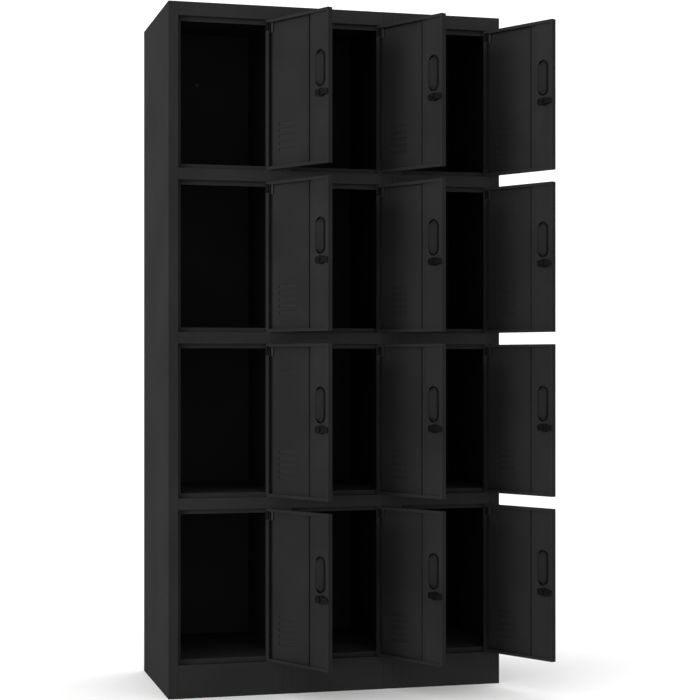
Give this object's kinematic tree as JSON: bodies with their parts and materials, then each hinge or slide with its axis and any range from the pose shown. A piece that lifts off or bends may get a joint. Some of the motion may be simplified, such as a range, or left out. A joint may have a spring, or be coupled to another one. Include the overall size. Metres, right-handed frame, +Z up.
{
  "type": "locker cabinet",
  "caption": "Steel locker cabinet made of tall modules side by side, with stacked compartments, right-hinged louvred doors, recessed finger cups and cam locks.",
  "frame": {"origin": "centre of the cabinet's footprint, on the floor", "axes": "+Z up, +Y from the front to the back, +X to the right as seen from the front"},
  "size_m": [0.9836, 0.6669, 1.8],
  "materials": {
    "carcass_coat": "fine-textured black powder coat",
    "door_coat": "fine-textured black powder coat",
    "handle_plastic": "satin black moulded plastic",
    "lock_steel": "dark zinc-plated steel"
  },
  "bodies": {
    "carcass": {"side_panel_c1_left": "carcass_coat", "side_panel_c1_right": "carcass_coat", "back_panel_c1": "carcass_coat", "top_pan_c1": "carcass_coat", "base_pan_c1": "carcass_coat", "shelf_c1_1": "carcass_coat", "shelf_c1_2": "carcass_coat", "shelf_c1_3": "carcass_coat", "side_panel_c2_left": "carcass_coat", "side_panel_c2_right": "carcass_coat", "back_panel_c2": "carcass_coat", "top_pan_c2": "carcass_coat", "base_pan_c2": "carcass_coat", "shelf_c2_1": "carcass_coat", "shelf_c2_2": "carcass_coat", "shelf_c2_3": "carcass_coat", "side_panel_c3_left": "carcass_coat", "side_panel_c3_right": "carcass_coat", "back_panel_c3": "carcass_coat", "top_pan_c3": "carcass_coat", "base_pan_c3": "carcass_coat", "shelf_c3_1": "carcass_coat", "shelf_c3_2": "carcass_coat", "shelf_c3_3": "carcass_coat"},
    "door_r1c1": {"door_r1c1": "door_coat", "handle_r1c1": "handle_plastic"},
    "lock_r1c1": {"lock_cam_r1c1": "lock_steel"},
    "door_r2c1": {"door_r2c1": "door_coat", "handle_r2c1": "handle_plastic"},
    "lock_r2c1": {"lock_cam_r2c1": "lock_steel"},
    "door_r3c1": {"door_r3c1": "door_coat", "handle_r3c1": "handle_plastic"},
    "lock_r3c1": {"lock_cam_r3c1": "lock_steel"},
    "door_r4c1": {"door_r4c1": "door_coat", "handle_r4c1": "handle_plastic"},
    "lock_r4c1": {"lock_cam_r4c1": "lock_steel"},
    "door_r1c2": {"door_r1c2": "door_coat", "handle_r1c2": "handle_plastic"},
    "lock_r1c2": {"lock_cam_r1c2": "lock_steel"},
    "door_r2c2": {"door_r2c2": "door_coat", "handle_r2c2": "handle_plastic"},
    "lock_r2c2": {"lock_cam_r2c2": "lock_steel"},
    "door_r3c2": {"door_r3c2": "door_coat", "handle_r3c2": "handle_plastic"},
    "lock_r3c2": {"lock_cam_r3c2": "lock_steel"},
    "door_r4c2": {"door_r4c2": "door_coat", "handle_r4c2": "handle_plastic"},
    "lock_r4c2": {"lock_cam_r4c2": "lock_steel"},
    "door_r1c3": {"door_r1c3": "door_coat", "handle_r1c3": "handle_plastic"},
    "lock_r1c3": {"lock_cam_r1c3": "lock_steel"},
    "door_r2c3": {"door_r2c3": "door_coat", "handle_r2c3": "handle_plastic"},
    "lock_r2c3": {"lock_cam_r2c3": "lock_steel"},
    "door_r3c3": {"door_r3c3": "door_coat", "handle_r3c3": "handle_plastic"},
    "lock_r3c3": {"lock_cam_r3c3": "lock_steel"},
    "door_r4c3": {"door_r4c3": "door_coat", "handle_r4c3": "handle_plastic"},
    "lock_r4c3": {"lock_cam_r4c3": "lock_steel"}
  },
  "joints": [
    {"name": "door_hinge_r1c1", "type": "hinge", "parent": "carcass", "child": "door_r1c1", "pos_m": [-0.1832, -0.2205, 1.567], "axis": [0, 0, 1], "range_deg": [-118, 0]},
    {"name": "lock_turn_r1c1", "type": "hinge", "parent": "door_r1c1", "child": "lock_r1c1", "pos_m": [-0.0797, -0.40557, 1.551], "axis": [-0.8829, -0.4695, 0], "range_deg": [0, 180]},
    {"name": "door_hinge_r2c1", "type": "hinge", "parent": "carcass", "child": "door_r2c1", "pos_m": [-0.1832, -0.2205, 1.1435], "axis": [0, 0, 1], "range_deg": [-118, 0]},
    {"name": "lock_turn_r2c1", "type": "hinge", "parent": "door_r2c1", "child": "lock_r2c1", "pos_m": [-0.0797, -0.40557, 1.1275], "axis": [-0.8829, -0.4695, 0], "range_deg": [0, 180]},
    {"name": "door_hinge_r3c1", "type": "hinge", "parent": "carcass", "child": "door_r3c1", "pos_m": [-0.1832, -0.2205, 0.71675], "axis": [0, 0, 1], "range_deg": [-118, 0]},
    {"name": "lock_turn_r3c1", "type": "hinge", "parent": "door_r3c1", "child": "lock_r3c1", "pos_m": [-0.0797, -0.40557, 0.6975], "axis": [-0.8829, -0.4695, 0], "range_deg": [0, 180]},
    {"name": "door_hinge_r4c1", "type": "hinge", "parent": "carcass", "child": "door_r4c1", "pos_m": [-0.1832, -0.2205, 0.28675], "axis": [0, 0, 1], "range_deg": [-118, 0]},
    {"name": "lock_turn_r4c1", "type": "hinge", "parent": "door_r4c1", "child": "lock_r4c1", "pos_m": [-0.0797, -0.40557, 0.2675], "axis": [-0.8829, -0.4695, 0], "range_deg": [0, 180]},
    {"name": "door_hinge_r1c2", "type": "hinge", "parent": "carcass", "child": "door_r1c2", "pos_m": [0.1169, -0.2205, 1.567], "axis": [0, 0, 1], "range_deg": [-118, 0]},
    {"name": "lock_turn_r1c2", "type": "hinge", "parent": "door_r1c2", "child": "lock_r1c2", "pos_m": [0.2204, -0.40557, 1.551], "axis": [-0.8829, -0.4695, 0], "range_deg": [0, 180]},
    {"name": "door_hinge_r2c2", "type": "hinge", "parent": "carcass", "child": "door_r2c2", "pos_m": [0.1169, -0.2205, 1.1435], "axis": [0, 0, 1], "range_deg": [-118, 0]},
    {"name": "lock_turn_r2c2", "type": "hinge", "parent": "door_r2c2", "child": "lock_r2c2", "pos_m": [0.2204, -0.40557, 1.1275], "axis": [-0.8829, -0.4695, 0], "range_deg": [0, 180]},
    {"name": "door_hinge_r3c2", "type": "hinge", "parent": "carcass", "child": "door_r3c2", "pos_m": [0.1169, -0.2205, 0.71675], "axis": [0, 0, 1], "range_deg": [-118, 0]},
    {"name": "lock_turn_r3c2", "type": "hinge", "parent": "door_r3c2", "child": "lock_r3c2", "pos_m": [0.2204, -0.40557, 0.6975], "axis": [-0.8829, -0.4695, 0], "range_deg": [0, 180]},
    {"name": "door_hinge_r4c2", "type": "hinge", "parent": "carcass", "child": "door_r4c2", "pos_m": [0.1169, -0.2205, 0.28675], "axis": [0, 0, 1], "range_deg": [-118, 0]},
    {"name": "lock_turn_r4c2", "type": "hinge", "parent": "door_r4c2", "child": "lock_r4c2", "pos_m": [0.2204, -0.40557, 0.2675], "axis": [-0.8829, -0.4695, 0], "range_deg": [0, 180]},
    {"name": "door_hinge_r1c3", "type": "hinge", "parent": "carcass", "child": "door_r1c3", "pos_m": [0.417, -0.2205, 1.567], "axis": [0, 0, 1], "range_deg": [-118, 0]},
    {"name": "lock_turn_r1c3", "type": "hinge", "parent": "door_r1c3", "child": "lock_r1c3", "pos_m": [0.5205, -0.40557, 1.551], "axis": [-0.8829, -0.4695, 0], "range_deg": [0, 180]},
    {"name": "door_hinge_r2c3", "type": "hinge", "parent": "carcass", "child": "door_r2c3", "pos_m": [0.417, -0.2205, 1.1435], "axis": [0, 0, 1], "range_deg": [-118, 0]},
    {"name": "lock_turn_r2c3", "type": "hinge", "parent": "door_r2c3", "child": "lock_r2c3", "pos_m": [0.5205, -0.40557, 1.1275], "axis": [-0.8829, -0.4695, 0], "range_deg": [0, 180]},
    {"name": "door_hinge_r3c3", "type": "hinge", "parent": "carcass", "child": "door_r3c3", "pos_m": [0.417, -0.2205, 0.71675], "axis": [0, 0, 1], "range_deg": [-118, 0]},
    {"name": "lock_turn_r3c3", "type": "hinge", "parent": "door_r3c3", "child": "lock_r3c3", "pos_m": [0.5205, -0.40557, 0.6975], "axis": [-0.8829, -0.4695, 0], "range_deg": [0, 180]},
    {"name": "door_hinge_r4c3", "type": "hinge", "parent": "carcass", "child": "door_r4c3", "pos_m": [0.417, -0.2205, 0.28675], "axis": [0, 0, 1], "range_deg": [-118, 0]},
    {"name": "lock_turn_r4c3", "type": "hinge", "parent": "door_r4c3", "child": "lock_r4c3", "pos_m": [0.5205, -0.40557, 0.2675], "axis": [-0.8829, -0.4695, 0], "range_deg": [0, 180]}
  ]
}
